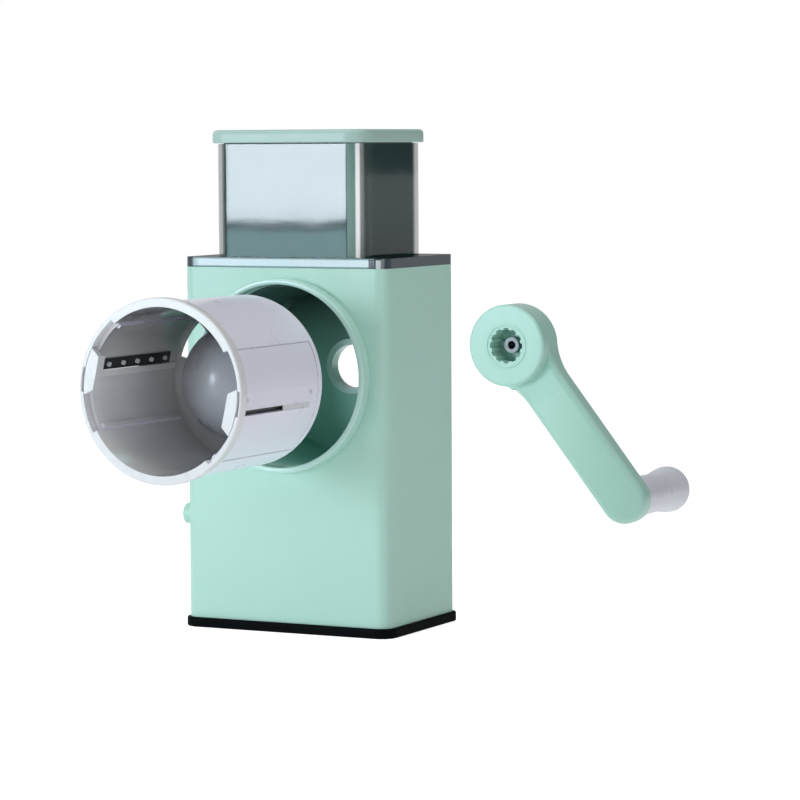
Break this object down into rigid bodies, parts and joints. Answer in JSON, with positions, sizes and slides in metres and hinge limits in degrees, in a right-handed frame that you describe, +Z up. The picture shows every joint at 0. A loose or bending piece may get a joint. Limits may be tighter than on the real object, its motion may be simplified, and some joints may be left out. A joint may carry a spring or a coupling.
{
  "type": "rotary cabbage shredder",
  "caption": "Hand cranked drum shredder with a square body, smoke hopper and pusher, pull-out drum with blade panels, plug-in crank and suction foot.",
  "frame": {"origin": "centre of the flat underside, on the surface that it stands on", "axes": "+X to the right of the front opening, +Y from the front opening to the rear wall along the drum's axis, +Z up"},
  "size_m": [0.1673, 0.529, 0.285],
  "materials": {
    "shell_mint": "satin moulded plastic",
    "housing_mint": "satin moulded plastic",
    "base_black": "satin black plastic",
    "cup_rubber": "soft rubber",
    "bell_white": "plain moulded plastic",
    "fastener_steel": "plated steel",
    "smoke_clear": "polished smoke-tinted clear plastic",
    "pusher_green": "satin moulded plastic",
    "catch_dark": "polished dark plastic",
    "lid_mint": "satin moulded plastic",
    "drum_grey": "glossy moulded plastic",
    "panel_grey": "glossy moulded plastic",
    "blade_steel": "ground steel",
    "grip_grey": "satin moulded plastic"
  },
  "bodies": {
    "root": {"body_shell": "shell_mint", "front_collar": "shell_mint", "drum_housing": "housing_mint", "base_plate": "base_black", "base_screws": "fastener_steel", "suction_cup": "cup_rubber", "suction_bell": "bell_white", "suction_stem": "bell_white"},
    "lever": {"suction_lever": "shell_mint", "cam_shaft": "fastener_steel", "lift_cam": "fastener_steel", "lever_screw": "fastener_steel"},
    "bush": {"drive_bush": "housing_mint", "bush_clip": "fastener_steel"},
    "hopper": {"hopper": "smoke_clear", "flange_catch": "catch_dark"},
    "pusher": {"pusher_cap": "lid_mint", "pusher_box": "pusher_green"},
    "drum": {"drum_shell": "drum_grey", "drum_dome": "drum_grey", "drum_shaft": "drum_grey", "shaft_screws": "fastener_steel"},
    "left_panel": {"left_blade_panel": "panel_grey", "left_slicing_blade": "blade_steel", "left_tooth_comb": "catch_dark", "left_blade_rivets": "fastener_steel"},
    "right_panel": {"right_blade_panel": "panel_grey", "right_slicing_blade": "blade_steel", "right_tooth_comb": "catch_dark", "right_blade_rivets": "fastener_steel"},
    "crank": {"crank_arm": "shell_mint", "crank_sleeve": "fastener_steel", "grip_axle": "fastener_steel"},
    "grip": {"grip": "grip_grey", "grip_cap": "grip_grey"}
  },
  "joints": [
    {"name": "drive_turn", "type": "hinge", "parent": "root", "child": "bush", "pos_m": [0, 0.042, 0.1465], "axis": [0, 1, 0], "continuous": true},
    {"name": "drum_draw", "type": "slide", "parent": "bush", "child": "drum", "axis": [0, -1, 0], "range_m": [-0.1235, 0]},
    {"name": "crank_draw", "type": "slide", "parent": "bush", "child": "crank", "axis": [0, 1, 0], "range_m": [-0.2043, 0]},
    {"name": "grip_turn", "type": "hinge", "parent": "crank", "child": "grip", "pos_m": [0.07634, 0.3, 0.04879], "axis": [0, 1, 0], "continuous": true},
    {"name": "left_panel_draw", "type": "slide", "parent": "drum", "child": "left_panel", "axis": [0, -1, 0], "range_m": [0, 0.092]},
    {"name": "right_panel_draw", "type": "slide", "parent": "drum", "child": "right_panel", "axis": [0, -1, 0], "range_m": [0, 0.092]},
    {"name": "hopper_lift", "type": "slide", "parent": "root", "child": "hopper", "axis": [0, 0, 1], "range_m": [0, 0.06]},
    {"name": "pusher_lift", "type": "slide", "parent": "hopper", "child": "pusher", "axis": [0, 0, 1], "range_m": [0, 0.095]},
    {"name": "lever_turn", "type": "hinge", "parent": "root", "child": "lever", "pos_m": [-0.0655, 0.004, 0.063], "axis": [-1, 0, 0], "range_deg": [0, 90]}
  ]
}
